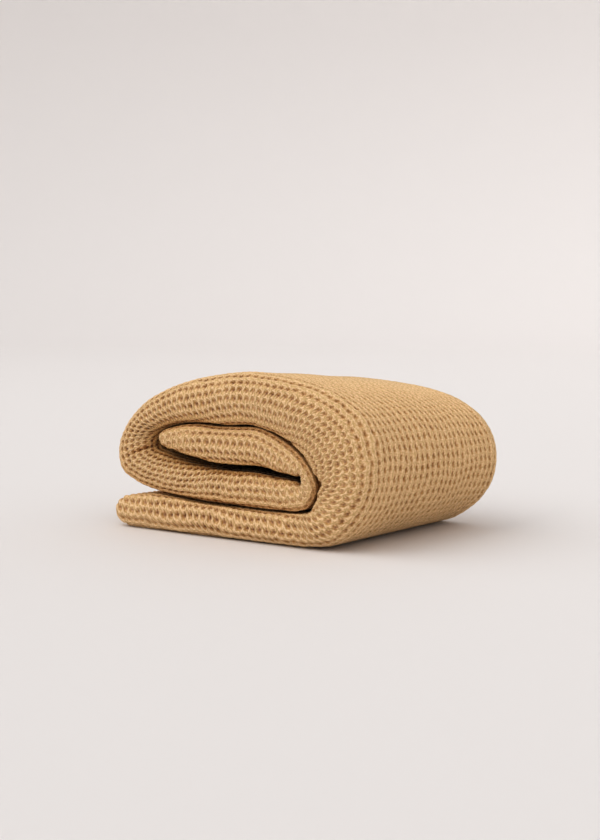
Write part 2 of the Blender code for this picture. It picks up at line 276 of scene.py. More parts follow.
def corner_set_back(places, length):
    """How far the front and back edges draw in at the pad's rounded corners, as a quarter circle."""
    from_tip = np.clip(1 - np.minimum(places, length - places) / CORNER_ROUNDING, 0, 1)
    return CORNER_ROUNDING * (1 - np.sqrt(1 - from_tip**2))


def eased(value):
    """A smooth step from 0 to 1, as the value goes from 0 to 1."""
    held = np.clip(value, 0, 1)
    return held * held * (3 - 2 * held)


def height_share(y):
    """The roll's height at a depth, as a share of that at the front: a straight fall and a low rise on it."""
    s = y / ROLL_DEPTH + 0.5
    return 1 + (BACK_HEIGHT_SHARE - 1) * s + 4 * MIDDLE_RISE_SHARE * s * (1 - s)


def uneven(x, y, z):
    """How far the roll's soft unevenness moves a place in X and Z. All layers share it.

    In X it is a sine of Y, and in Z half as much, times a cosine of X + Y / 2. Both grow from the floor up.
    Under the right fold the cloth lifts towards the back, by soft steps in X, Y and Z, and draws in by half
    of that.
    """
    lifted = np.minimum(1.0, z / WAVE_FULL_HEIGHT)
    along = np.sin(2 * math.pi * y / WAVE_LENGTH + WAVE_PHASES[0])
    across = np.cos(2 * math.pi * (x + y / 2) / WAVE_LENGTH + WAVE_PHASES[1])
    under_fold = eased((x - BACK_LIFT_FROM) / BACK_LIFT_RISE) * (1 - eased(z / BACK_LIFT_HEIGHT))
    drawn = BACK_LIFT * under_fold * eased(y / ROLL_DEPTH + 0.5)
    return WAVE_DEPTH * lifted * along - drawn / 2, WAVE_DEPTH / 2 * lifted * across * along + drawn


def row_places(cuts, at):
    """The places of the grid's rows along the pad, and the weave's cells counted up to each.

    The outer face is followed in fine steps, from the tip of one rounded end to the tip of the other. Its
    length over the local pitch, added up, counts the cells, and the rows lie evenly in that count.
    """
    turn = np.linspace(0, math.pi / 2, TIP_POINTS)
    start = START_ROUNDING * (1 - np.cos(turn))
    end = at[-1] - END_ROUNDING * (1 - np.cos(turn[::-1]))
    fine = np.concatenate([start, np.linspace(start[-1], end[0], RUN_POINTS)[1:-1], end])
    section = smooth_cuts(cuts, at, fine)
    half = (section[:, 0:2] - section[:, 2:4]) / 2 * end_share(fine, at[-1])[:, None]
    outer = (section[:, 0:2] + section[:, 2:4]) / 2 + half
    step = np.linalg.norm(np.diff(outer, axis=0), axis=1)
    pitch = stretch_values(at, fine)[PITCH]
    cells = np.concatenate([[0.0], np.cumsum(step / ((pitch[:-1] + pitch[1:]) / 2))])
    count = int(cells[-1] * STEPS_IN_CELL)
    row_cells = np.linspace(0, cells[-1], count + 1)
    return np.interp(row_cells, cells, fine), row_cells


def ring_columns(thickness, outer_r, inner_r, front, back, lips_show):
    """Depth and place across the thickness of every column, for all rows at once.

    It goes over the outer face to the front, round the front edge, back over the inner face, and round the
    lips. The front edge is two quarter ellipses, filled out a little, and each lip ends in half an ellipse.
    Near the pad's ends, where lips_show falls to 0, the lips merge into one half ellipse.
    """
    turn = np.linspace(math.pi / 2, -math.pi / 2, FRONT_COLUMNS + 1)
    r = np.where(turn > 0, outer_r, inner_r)
    front_y = front + r * (1 - np.abs(np.cos(turn)) ** FRONT_FULLNESS)
    front_across = np.sin(turn)
    lip_y, lip_across = lip_columns(thickness, back, lips_show)
    share = np.linspace(0, 1, OUTER_COLUMNS + 1)[:-1]
    outer_y = lip_y[:, -1:] + (front_y[:, :1] - lip_y[:, -1:]) * share
    share = np.linspace(0, 1, INNER_COLUMNS + 1)[1:]
    inner_y = front_y[:, -1:] + (lip_y[:, :1] - front_y[:, -1:]) * share
    y = np.concatenate([outer_y, front_y, inner_y, lip_y[:, 1:]], axis=1)
    across = np.concatenate([np.ones(OUTER_COLUMNS), front_across, -np.ones(INNER_COLUMNS), lip_across[1:]])
    return y, np.broadcast_to(across, y.shape)


def lip_columns(thickness, back, lips_show):
    """Depth and place across the thickness of the columns round the lips, from the inner face outwards.

    Each lip ends in half an ellipse, and between two lips, two straight lines meet in the middle of the gap.
    Where lips_show is 0, one half ellipse over the whole thickness takes the place of all this.
    """
    inward, across = [], []
    low = -1.0
    for number, (name, share) in enumerate(LIPS):
        high = low + 2 * share
        bottom = low + (BACK_GAP if number else 0.0)
        top = high - (BACK_GAP if number < len(LIPS) - 1 else 0.0)
        middle, half = (bottom + top) / 2, (top - bottom) / 2
        rounding = BACK_ROUNDING * half * thickness / 2
        turn = np.linspace(-math.pi / 2, math.pi / 2, LIP_COLUMNS[name] + 1)
        inward.append(rounding * (1 - np.cos(turn)))
        across.append(middle + half * np.sin(turn))
        if number < len(LIPS) - 1:
            down = np.linspace(0, 1, GAP_COLUMNS + 1)[1:]
            up = np.linspace(1, 0, GAP_COLUMNS + 1)[1:-1]
            inward.append(rounding + BACK_GAP_DEPTH * np.concatenate([down, up]))
            across.append(high - BACK_GAP * np.concatenate([1 - down, up - 1]))
        low = high
    inward, across = np.concatenate(inward, axis=1), np.concatenate(across)
    whole = BACK_ROUNDING * thickness / 2 * (1 - np.sqrt(1 - np.minimum(1.0, across**2)))
    return back - (lips_show * inward + (1 - lips_show) * whole), across


def pad_surface(cuts, at, places):
    """The smooth surface of the pad as rows by columns by XYZ, the stretches' values by row, and each point's
    place across the thickness, from -1 on the inner face to 1 on the outer one.

    A point lies at that place on the line between the section's two faces. The thickness goes to 0 at the
    pad's ends. Away from the front and back, the inner face bulges by the section's fill. Then heights are
    scaled by height_share, and X and Z move by uneven.
    """
    length = at[-1]
    section = smooth_cuts(cuts, at, places)
    values = stretch_values(at, places)
    set_back, outer_r, inner_r = (values[k][:, None] for k in (SET_BACK, OUTER_R, INNER_R))
    share = end_share(places, length)[:, None]
    corner = corner_set_back(places, length)[:, None]
    middle = (section[:, 0:2] + section[:, 2:4]) / 2
    whole_half = (section[:, 0:2] - section[:, 2:4]) / 2
    half = whole_half * share
    outward = whole_half / np.linalg.norm(whole_half, axis=1, keepdims=True)
    thickness = 2 * np.linalg.norm(half, axis=1, keepdims=True)
    front = -ROLL_DEPTH / 2 + set_back + corner
    back = ROLL_DEPTH / 2 - set_back / 2 - corner
    lips_show = eased(np.minimum(places, length - places) / LIPS_FADE)[:, None]
    y, across = ring_columns(thickness, outer_r, inner_r, front, back, lips_show)
    filled = eased((ROLL_DEPTH / 2 - np.abs(y)) / FILL_EDGE)
    bulge = section[:, 4:5] * share * filled * np.maximum(0.0, -across)
    x = middle[:, 0:1] + half[:, 0:1] * across - bulge * outward[:, 0:1]
    z = middle[:, 1:2] + half[:, 1:2] * across - bulge * outward[:, 1:2]
    shift_x, shift_z = uneven(x, y, z)
    return np.stack([x + shift_x, y, z * height_share(y) + shift_z], axis=2), values, across


def soft_noise(along, across, wavelength, seed):
    """Seeded soft unevenness of about plus and minus 1: a sum of plane waves in all directions, over the root
    of their number."""
    rng = np.random.default_rng(seed)
    total = np.zeros(np.broadcast(along, across).shape)
    for _ in range(NOISE_WAVES):
        turn, phase = rng.uniform(0, 2 * math.pi, 2)
        length = wavelength * rng.uniform(*NOISE_LENGTHS)
        total += np.sin(2 * math.pi / length * (math.cos(turn) * along + math.sin(turn) * across) + phase)
    return total / math.sqrt(NOISE_WAVES)


def wander(along, across, waves, seed):
    """Soft noise of several heights and lengths, added up."""
    return sum(
        height * soft_noise(along, across, wavelength, seed + number)
        for number, (height, wavelength) in enumerate(waves)
    )


def ring_steps(points):
    """The length of every step round the pad, from each column to the next and from the last to the first."""
    return np.linalg.norm(np.roll(points, -1, axis=1) - points, axis=2)


def ring_distance(points, start_column, seam_column):
    """The distance round the pad of every grid point, from one column, along the polygon of its row.

    It runs forwards up to the seam column and backwards to the columns after it, so it is even everywhere
    but at the seam, down in a gap between two lips.
    """
    step = ring_steps(points)
    total = step.sum(axis=1, keepdims=True)
    run = np.concatenate([np.zeros((len(points), 1)), np.cumsum(step, axis=1)[:, :-1]], axis=1)
    after_seam = np.arange(points.shape[1])[None, :] > seam_column
    return run - run[:, start_column : start_column + 1] - np.where(after_seam, total, 0.0)


def surface_normals(points):
    """Unit normals of the grid: cross products of its differences along and across the pad. The columns close
    up into a ring."""
    along = np.gradient(points, axis=0)
    across = np.roll(points, -1, axis=1) - np.roll(points, 1, axis=1)
    normal = np.cross(along, across)
    return normal / np.maximum(np.linalg.norm(normal, axis=2, keepdims=True), LEAST_NORMAL)


def cells_along(points, row_cells, values, anchor):
    """The weave's cells counted along the pad at every grid point, before they wander.

    On the outer face each column counts its own length over the local pitch, from an anchor row. Round the
    front edge the rows keep the count of the outer face's front column, and on the inner face it goes back
    evenly to that of the back, which the lips share.
    """
    step = np.linalg.norm(np.diff(points[:, : OUTER_COLUMNS + 1], axis=0), axis=2)
    pitch = values[PITCH]
    counted = np.cumsum(step / ((pitch[:-1] + pitch[1:]) / 2)[:, None], axis=0)
    counted = np.concatenate([np.zeros((1, OUTER_COLUMNS + 1)), counted])
    outer = counted - counted[anchor] + row_cells[anchor]
    front, back = outer[:, -1:], outer[:, :1]
    share = np.linspace(0, 1, INNER_COLUMNS + 1)[None, 1:]
    inner = front + (back - front) * share
    on_front = np.repeat(front, FRONT_COLUMNS, axis=1)
    on_lips = np.repeat(back, points.shape[1] - (INNER_END + 1), axis=1)
    return np.concatenate([outer, on_front, inner, on_lips], axis=1)


def weave_cells(along, around, values, edge_share):
    """The cell coordinates of every grid point: cells counted along the pad, and cells counted round it.

    Round the pad it is the distance over the cells' width, less what the wider cells of the front edge take.
    The rows wander softly. On the front edge they lean, by squared sines of the share of the way from its
    middle to its sides, and they turn to and fro in each cell, by a sine.
    """
    on_front = np.where(np.abs(edge_share) < 1, around, 0)
    over_edge = (edge_share + 1) / 2 * np.ptp(on_front, axis=1, keepdims=True)
    widened = around - over_edge * (1 - 1 / values[WIDE][:, None])
    length = along * values[PITCH][:, None]
    across = widened / PITCH_ACROSS + wander(length, around, WANDER_ACROSS, WANDER_ACROSS_SEED)
    lean_rise = np.sin(math.pi / 2 * edge_share) ** 2
    lean = np.where(edge_share > 0, values[LEAN_IN][:, None], -values[LEAN_OUT][:, None]) * lean_rise
    twist = values[TWIST][:, None] * np.cos(math.pi / 2 * edge_share) ** 2 * np.sin(2 * math.pi * across)
    return along + wander(length, around, WANDER_ALONG, WANDER_ALONG_SEED) + lean + twist, across


def weave_height(along, across, rib_along, rib_across, on_edge):
    """The weave's height over a cell, from 0 in the deepest pit to 1 on the crossing of two ribs.

    With A and B the squared sines of half a turn a cell, the cloth blends four heights: the crossing where
    both are 0, the rib that runs along where only A is 0, the rib that runs across where only B is 0, and
    BETWEEN_RIBS where both are 1. There a pit lowers it by a bell curve of the distance from its middle. Each
    pit has its own depth and size, and on the faces the pits are longer along the pad.
    """
    a = np.sin(math.pi * across) ** 2
    b = np.sin(math.pi * along) ** 2
    over_rib_along = (1 - a) * (1 - b + b * rib_along)
    cloth_height = over_rib_along + a * ((1 - b) * rib_across + b * BETWEEN_RIBS)
    rng = np.random.default_rng(PITS_SEED)
    cell = (np.floor(along).astype(int) % PIT_REPEAT[0], np.floor(across).astype(int) % PIT_REPEAT[1])
    filled = rng.uniform(0.0, PIT_FILLED, PIT_REPEAT)[cell]
    scale = rng.uniform(*PIT_SCALE, PIT_REPEAT)[cell]
    half_along = scale * (PIT_ALONG[0] + (PIT_ALONG[1] - PIT_ALONG[0]) * on_edge)
    half_across = scale * (PIT_ACROSS[0] + (PIT_ACROSS[1] - PIT_ACROSS[0]) * on_edge)
    pit = np.exp(-(((along % 1 - 0.5) / half_along) ** 2) - ((across % 1 - 0.5) / half_across) ** 2)
    return cloth_height * (1 - pit * (1 - filled))


def relief_depth(smooth, values, counted, around, edge_share, on_edge, from_end):
    """How deep the pits are at every grid point: PIT_DEPTH times the stretch's relief, and less where a fold
    squeezes the cells, softly uneven, less deep on the faces and at the lips, and none at the lips' ends."""
    step = np.linalg.norm(np.gradient(smooth, axis=0), axis=2) * STEPS_IN_CELL
    squeezed = np.clip(step / PITCH_ACROSS, LEAST_SQUEEZED, 1.0)
    worn = 1 + WORN[0] * soft_noise(counted * values[PITCH][:, None], around, WORN[1], WORN_SEED)
    open_side = np.where(edge_share > 0, eased((1 - edge_share) / (1 - LOOK_KEPT)), on_edge)
    depth = PIT_DEPTH * values[RELIEF][:, None] * squeezed * worn
    depth = depth * (FACE_RELIEF + (1 - FACE_RELIEF) * open_side)
    on_lips = np.arange(smooth.shape[1])[None, :] > INNER_END
    return np.where(on_lips, LIP_RELIEF * eased(from_end / LIPS_FADE)[:, None] * depth, depth)


def layer_shade(smooth, values, across, edge_share):
    """How much shade is painted on every grid point because the next layer lies on it: the stretch's shade of
    that face, by soft steps in from the front edge and from the roll's front and back, and none on the lips."""
    behind = eased((ROLL_DEPTH / 2 - np.abs(smooth[:, :, 1]) - SHADE_FROM) / SHADE_RISE)
    face_shade = np.where(across > 0, values[SHADE_OUT][:, None], values[SHADE_IN][:, None])
    on_lips = np.arange(smooth.shape[1])[None, :] > INNER_END
    return np.where(on_lips, 0.0, face_shade * behind * eased(np.abs(edge_share)))


def soft_creases(points, near_front):
    """How deep the creases are at every grid point, and how much shade is painted in them: bell curves of the
    distance to each line. A crease fades out towards its second end, by a squared cosine."""
    deep, dark = np.zeros(points.shape[:2]), np.zeros(points.shape[:2])
    for first, last, half_width, depth, shade in CREASES:
        line = np.array(last) - np.array(first)
        offset = points[:, :, [0, 2]] - np.array(first)
        along = np.clip(offset @ line / (line @ line), 0, 1)
        distance = np.linalg.norm(offset - along[:, :, None] * line, axis=2)
        bell = np.exp(-((distance / half_width) ** 2)) * np.cos(math.pi / 2 * along) ** 2
        deep += depth * bell
        dark = np.maximum(dark, shade * bell)
    return deep * near_front, dark * near_front


def build_cloth():
    """Works out the whole grid: its points and normals, the weave's cells, and what the material reads.

    on_edge is how far the weave has the look of the front edge: 1 in the edge's middle and for LOOK_KEPT of
    the way to the inner face, and from there a squared cosine down to 0 at that face, and down to 0 over
    LOOK_ENDS of the way to the outer one. By on_edge times the stretch's cross, the ribs along the pad go
    down from HIGH_RIB to LOW_RIB and those across it come up. The surface is pressed in along its normals,
    by the pits' depth times what the height lacks to 1, and by the creases. Then the roll is centred in X,
    and nothing stays below the floor.
    """
    cuts = cut_rows()
    at = cut_places(cuts)
    places, row_cells = row_places(cuts, at)
    smooth, values, across = pad_surface(cuts, at, places)
    around = ring_distance(smooth, OUTER_COLUMNS, SEAM_COLUMN)
    edge_share = np.clip(2 * around / around[:, FRONT_END][:, None] - 1, -1, 1)
    anchor = int(np.searchsorted(places, at[ANCHOR_CUT]))
    counted = cells_along(smooth, row_cells, values, anchor)
    cell_along, cell_across = weave_cells(counted, around, values, edge_share)

    past_inner = (edge_share - LOOK_KEPT) / (1 - LOOK_KEPT)
    past_edge = np.clip(np.where(edge_share > 0, past_inner, -edge_share / LOOK_ENDS), 0, 1)
    on_edge = np.cos(math.pi / 2 * past_edge) ** 2
    crossed = on_edge * values[CROSS][:, None]
    rib_along = HIGH_RIB - (HIGH_RIB - LOW_RIB) * crossed
    rib_across = LOW_RIB + (HIGH_RIB - LOW_RIB) * np.maximum(crossed, LEAST_CROSS * on_edge)
    height = weave_height(cell_along, cell_across, rib_along, rib_across, on_edge)

    from_end = np.minimum(places, at[-1] - places)
    depth = relief_depth(smooth, values, counted, around, edge_share, on_edge, from_end)
    near_front = eased(1 - (smooth[:, :, 1] + ROLL_DEPTH / 2) / CREASE_REACH)
    creases, crease_shade = soft_creases(smooth, near_front)
    points = smooth - surface_normals(smooth) * (depth * (1 - height) + creases)[:, :, None]
    normals = surface_normals(points)
    points[:, :, 0] -= (smooth[:, :, 0].min() + smooth[:, :, 0].max()) / 2
    points[:, :, 2] = np.maximum(points[:, :, 2], 0.0)
    return {
        "points": points,
        "normals": normals,
        "cells": np.stack([cell_along, cell_across], axis=2),
        # The pits' depth, as a share, also sets how much painted shade the material puts in them.
        "pit_depth": depth / PIT_DEPTH,
        # Painted shade between the layers and in the creases.
        "shade": np.maximum(layer_shade(smooth, values, across, edge_share), crease_shade),
        "crossed": crossed,
        "on_edge": on_edge,
        "row_cells": row_cells,
        "row_girth": ring_steps(smooth).sum(axis=1),
        "places": places,
        "at": at,
    }


# ------------------------------------------------------------------------
# Materials
# ------------------------------------------------------------------------


def colour(red, green, blue):
    """A colour for a shader from its values on a screen, 0 to 255, by the usual curve for screens."""
    screen = np.array([red, green, blue]) / 255
    linear = np.where(screen <= 0.04045, screen / 12.92, ((screen + 0.055) / 1.055) ** 2.4)
    return (*linear.tolist(), 1.0)


def new_material(name):
    """A material with an empty Principled shader, and its node tree and shader."""
    material = bpy.data.materials.new(name)
    material.use_nodes = True
    return material, material.node_tree, material.node_tree.nodes["Principled BSDF"]


def math_node(tree, kind, *values, node_type="ShaderNodeMath", clamped=False):
    """A Math or Vector Math node on sockets or plain values. Returns its output."""
    node = tree.nodes.new(node_type)
    node.operation = kind
    for socket, value in zip(node.inputs, values):
        if isinstance(value, bpy.types.NodeSocket):
            tree.links.new(value, socket)
        else:
            socket.default_value = value
    if clamped:
        node.use_clamp = True
    return node.outputs[0]


def noise_node(tree, coordinates, scale, detail, roughness):
    """A Noise Texture node on given coordinates."""
    noise = tree.nodes.new("ShaderNodeTexNoise")
    noise.inputs["Scale"].default_value = scale
    noise.inputs["Detail"].default_value = detail
    noise.inputs["Roughness"].default_value = roughness
    tree.links.new(coordinates, noise.inputs["Vector"])
    return noise


def attribute_value(tree, name):
    """The value of one of the cloth's own attributes."""
    attribute = tree.nodes.new("ShaderNodeAttribute")
    attribute.attribute_name = name
    return attribute.outputs["Fac"]


SHAPE_SHIFT = 0.16         # how far noise shifts the shapes of the weave, in cells
SHAPE_NOISE = (2.3, 1.0, 0.5)   # scale, detail and roughness of that noise
FIBRE_NOISE = (5.0, 2.0, 0.65)  # the same for the loose fibre
FIBRE_TONE = 0.95          # how much lighter and darker the loose fibre makes the yarns
YARN_PAINTED_SHADING = 0.40           # how much lighter the middle of a turned yarn is than its sides
FIBRE_BUMP = 0.7           # height of the loose fibre, as a share of that of a yarn
PIT_BUMP = 1.6             # depth that a pit's sharp brink adds, as a share of the same
RIB_BORDER = 5.0           # how sharply one rib's yarns give way to the other's

YARNS = 2.4                # yarns side by side in the width of a cell
YARN_HEIGHT = 0.0008       # how far a yarn stands out
# PIT_SIDE places the painted shade of a pit's side, SHADE_WARMTH deepens the painted shade between layers,
# and TONE_SATURATION fills out the colour of yarns that painted shading or fibre makes darker.
PIT_SIDE = 0.40            # how deep in a pit its side has the colour of the side
SHADE_WARMTH = 1.2         # how much deeper the colour gets in the shade between layers
TONE_SATURATION = 0.5      # how much fuller the colour of a dark yarn is than that of a light one

# COTTON_RIB is the yarn's own colour. The pit side, pit and shade colours are painted shade: in the pits, and
# between the layers and in the creases.
COTTON_RIB = colour(230, 194, 145)
PAINTED_PIT_SIDE_SHADE = colour(203, 158, 109)
PAINTED_PIT_SHADE = colour(124, 78, 40)
PAINTED_SHADE_COLOUR = colour(56, 30, 14)
COTTON_FLUFF = colour(246, 220, 182)

COTTON_FINISH = {
    "Roughness": 0.92,
    "Specular IOR Level": 0.10,
    "Sheen Weight": 0.30,
    "Sheen Roughness": 0.30,
    "Sheen Tint": COTTON_FLUFF,
}

# How the weave's look changes from the faces to the front edge, and where the ribs cross it.
WEAVE_LOOK = (
    # input, attribute, the input's value where that is 0, and where it is 1
    ("Pit Length", "on_edge", 0.39, 0.27),
    ("Pit Width", "on_edge", 0.19, 0.23),
    ("Rib Balance", "crossed", 0.16, -0.34),
    ("Yarn Turn", "on_edge", 0.40, 1.00),
    ("Pit Depth", "pit_depth", 0.00, 1.00),
)


def weave_group():
    """The fine look of the weave: a node group that turns cell coordinates into height, tone and pits.

    The yarns of a rib run along it, and turn out from its middle to both sides. With D the distance from the
    middle of the rib and L the way along it from the nearest crossing, in cells, their height is the squared
    sine of half a turn times Yarns D + Yarn Turn L. Where the other rib is nearer, its yarns lie on top, and
    Rib Balance moves that border towards the ribs that run across. A pit is a bell curve of the distance from
    the middle of the cell, over the pit's half sizes. Noise shifts the coordinates a little first, so that no
    two pits are alike.
    """
    tree = bpy.data.node_groups.new("waffle_weave", "ShaderNodeTree")
    tree.interface.new_socket("Cells", in_out="INPUT", socket_type="NodeSocketVector")
    for name in ("Yarns", "Pit Length", "Pit Width", "Pit Depth", "Rib Balance", "Yarn Turn"):
        tree.interface.new_socket(name, in_out="INPUT", socket_type="NodeSocketFloat")
    for name in ("Height", "Tone", "Pit"):
        tree.interface.new_socket(name, in_out="OUTPUT", socket_type="NodeSocketFloat")
    inside = tree.nodes.new("NodeGroupInput")
    outside = tree.nodes.new("NodeGroupOutput")

    cells = inside.outputs["Cells"]
    noise = noise_node(tree, cells, *SHAPE_NOISE).outputs["Color"]
    full_shift = (SHAPE_SHIFT, SHAPE_SHIFT, 0.0)
    mean_shift = (SHAPE_SHIFT / 2, SHAPE_SHIFT / 2, 0.0)
    shifted = math_node(tree, "MULTIPLY_ADD", noise, full_shift, cells, node_type="ShaderNodeVectorMath")
    centred = math_node(tree, "SUBTRACT", shifted, mean_shift, node_type="ShaderNodeVectorMath")
    split = tree.nodes.new("ShaderNodeSeparateXYZ")
    tree.links.new(centred, split.inputs[0])
    along, across = split.outputs["X"], split.outputs["Y"]

    # Going along the pad, one meets the ribs that run across it, and the other way round.
    from_rib = {}
    yarns = {}
    for name, over, beside in (("across", along, across), ("along", across, along)):
        from_rib[name] = math_node(tree, "PINGPONG", over, 0.5)
        place = math_node(tree, "FRACT", math_node(tree, "ADD", beside, 0.5))
        place = math_node(tree, "SUBTRACT", place, 0.5)
        turned = math_node(tree, "MULTIPLY", place, inside.outputs["Yarn Turn"])
        phase = math_node(tree, "MULTIPLY_ADD", from_rib[name], inside.outputs["Yarns"], turned)
        sine = math_node(tree, "SINE", math_node(tree, "MULTIPLY", phase, math.pi))
        yarns[name] = math_node(tree, "MULTIPLY", sine, sine)
    nearer = math_node(tree, "SUBTRACT", from_rib["across"], from_rib["along"])
    nearer = math_node(tree, "ADD", nearer, inside.outputs["Rib Balance"])
    nearer = math_node(tree, "MULTIPLY_ADD", nearer, RIB_BORDER, 0.5, clamped=True)
    mix = tree.nodes.new("ShaderNodeMix")
    tree.links.new(nearer, mix.inputs["Factor"])
    tree.links.new(yarns["across"], mix.inputs["A"])
    tree.links.new(yarns["along"], mix.inputs["B"])
    yarn = mix.outputs["Result"]

    squared = []
    for name, size in (("across", "Pit Length"), ("along", "Pit Width")):
        from_middle = math_node(tree, "SUBTRACT", 0.5, from_rib[name])
        ratio = math_node(tree, "DIVIDE", from_middle, inside.outputs[size])
        squared.append(math_node(tree, "MULTIPLY", ratio, ratio))
    total = math_node(tree, "ADD", squared[0], squared[1])
    bell = math_node(tree, "EXPONENT", math_node(tree, "MULTIPLY", total, -1.0))
    pit = math_node(tree, "MULTIPLY", bell, inside.outputs["Pit Depth"])
    tree.links.new(pit, outside.inputs["Pit"])

    fibre = noise_node(tree, cells, *FIBRE_NOISE).outputs["Fac"]
    yarn_height = math_node(tree, "MULTIPLY_ADD", fibre, FIBRE_BUMP, yarn)
    tree.links.new(math_node(tree, "MULTIPLY_ADD", pit, -PIT_BUMP, yarn_height), outside.inputs["Height"])
    # Tone: random lighter and darker fibre, and painted shading, lighter on a yarn's middle and darker in the
    # grooves between yarns.
    light_and_dark = math_node(tree, "MULTIPLY_ADD", fibre, FIBRE_TONE, 1 - FIBRE_TONE / 2)
    yarn_painted_shading = math_node(tree, "MULTIPLY_ADD", inside.outputs["Yarn Turn"], YARN_PAINTED_SHADING / 2, YARN_PAINTED_SHADING / 2)
    from_mean = math_node(tree, "SUBTRACT", yarn, 0.5)
    tone = math_node(tree, "MULTIPLY_ADD", from_mean, yarn_painted_shading, light_and_dark)
    tree.links.new(tone, outside.inputs["Tone"])
    return tree


def cotton_material():
    """Camel cotton: dull yarns with a soft sheen of loose fibre. Painted shade makes it darker and redder
    down in the pits, and nearly black between the layers and in the creases."""
    material, tree, shader = new_material("camel_waffle_cotton")
    cells = tree.nodes.new("ShaderNodeUVMap")
    cells.uv_map = "weave"
    weave = tree.nodes.new("ShaderNodeGroup")
    weave.node_tree = weave_group()
    weave.inputs["Yarns"].default_value = YARNS
    tree.links.new(cells.outputs["UV"], weave.inputs["Cells"])
    for name, attribute, at_0, at_1 in WEAVE_LOOK:
        value = math_node(tree, "MULTIPLY_ADD", attribute_value(tree, attribute), at_1 - at_0, at_0)
        tree.links.new(value, weave.inputs[name])

    # Painted shade in the pits: by the pit's bell curve the colour goes from the ribs' own colour through the
    # painted shade of a pit's side to that of its middle.
    ramp = tree.nodes.new("ShaderNodeValToRGB")
    stops = ramp.color_ramp.elements
    stops[0].position = 0.0
    stops[0].color = COTTON_RIB
    stops[1].position = 1.0
    stops[1].color = PAINTED_PIT_SHADE
    stops.new(PIT_SIDE).color = PAINTED_PIT_SIDE_SHADE
    tree.links.new(weave.outputs["Pit"], ramp.inputs["Fac"])
    # The tone darkens the colour by painted shading between the yarns and by random fibre, and darker yarns
    # get fuller colour.
    toned = tree.nodes.new("ShaderNodeHueSaturation")
    tone = weave.outputs["Tone"]
    saturation = math_node(tree, "MULTIPLY_ADD", tone, -TONE_SATURATION, 1 + TONE_SATURATION)
    tree.links.new(tone, toned.inputs["Value"])
    tree.links.new(saturation, toned.inputs["Saturation"])
    tree.links.new(ramp.outputs["Color"], toned.inputs["Color"])

    # Painted shade between the layers and in the creases: the colour grows deeper and redder, then mixes
    # towards a near black brown.
    shade = attribute_value(tree, "shade")
    warmed = tree.nodes.new("ShaderNodeGamma")
    tree.links.new(toned.outputs["Color"], warmed.inputs["Color"])
    tree.links.new(math_node(tree, "MULTIPLY_ADD", shade, SHADE_WARMTH, 1.0), warmed.inputs["Gamma"])
    shaded = tree.nodes.new("ShaderNodeMix")
    shaded.data_type = "RGBA"
    tree.links.new(math_node(tree, "MULTIPLY", shade, shade), shaded.inputs["Factor"])
    tree.links.new(warmed.outputs["Color"], shaded.inputs["A"])
    shaded.inputs["B"].default_value = PAINTED_SHADE_COLOUR
    tree.links.new(shaded.outputs["Result"], shader.inputs["Base Color"])

    bump = tree.nodes.new("ShaderNodeBump")
    bump.inputs["Distance"].default_value = YARN_HEIGHT
    bump.inputs["Strength"].default_value = 1.0
    tree.links.new(weave.outputs["Height"], bump.inputs["Height"])
    tree.links.new(bump.outputs["Normal"], shader.inputs["Normal"])
    for name, value in COTTON_FINISH.items():
        shader.inputs[name].default_value = value
    return material


# ------------------------------------------------------------------------
# Pieces
# ------------------------------------------------------------------------

FRONT_MARGIN = 26          # columns of the faces next to the front edge that are kept fine everywhere
WEDGE_MARGIN = 56          # the same where one looks into the wedge between two layers
COARSE_STEP = 12           # elsewhere on hidden faces every so many columns is kept

# The pieces, cut from the cloth along the pad: where each ends, as the number of a cut, and how many columns
# of its outer and inner faces are fine, next to the front edge.
PIECES = (
    # name, last cut, fine columns of the outer face, fine columns of the inner face
    ("floor_end", 2, FRONT_MARGIN, INNER_COLUMNS),
    ("floor_run", 7, FRONT_MARGIN, FRONT_MARGIN),
    ("right_fold", 16, OUTER_COLUMNS, FRONT_MARGIN),
    ("top_run", 22, OUTER_COLUMNS, FRONT_MARGIN),
    ("left_fold", 27, OUTER_COLUMNS, WEDGE_MARGIN),
    ("third_run", 31, WEDGE_MARGIN, WEDGE_MARGIN),
    ("inner_fold", 38, FRONT_MARGIN, WEDGE_MARGIN),
    ("inner_run", 46, FRONT_MARGIN, WEDGE_MARGIN),
)


def piece_columns(outer_fine, inner_fine, all_columns):
    """The columns that a piece keeps: all at the front edge, at the lips and on fine faces, and every
    COARSE_STEP-th on hidden faces. The first one comes again at the end, which closes the ring."""
    coarse_outer = np.arange(0, OUTER_COLUMNS - outer_fine, COARSE_STEP)
    fine = np.arange(OUTER_COLUMNS - outer_fine, FRONT_END + inner_fine)
    coarse_inner = np.arange(FRONT_END + inner_fine, INNER_END, COARSE_STEP)
    lips = np.arange(INNER_END, all_columns)
    return np.concatenate([coarse_outer, fine, coarse_inner, lips, [0]])


def grid_quads(rows, columns):
    """The corners of each quad of a grid, row by row."""
    index = np.arange(rows * columns).reshape(rows, columns)
    return np.stack([index[:-1, :-1], index[1:, :-1], index[1:, 1:], index[:-1, 1:]], axis=2).reshape(-1, 4)


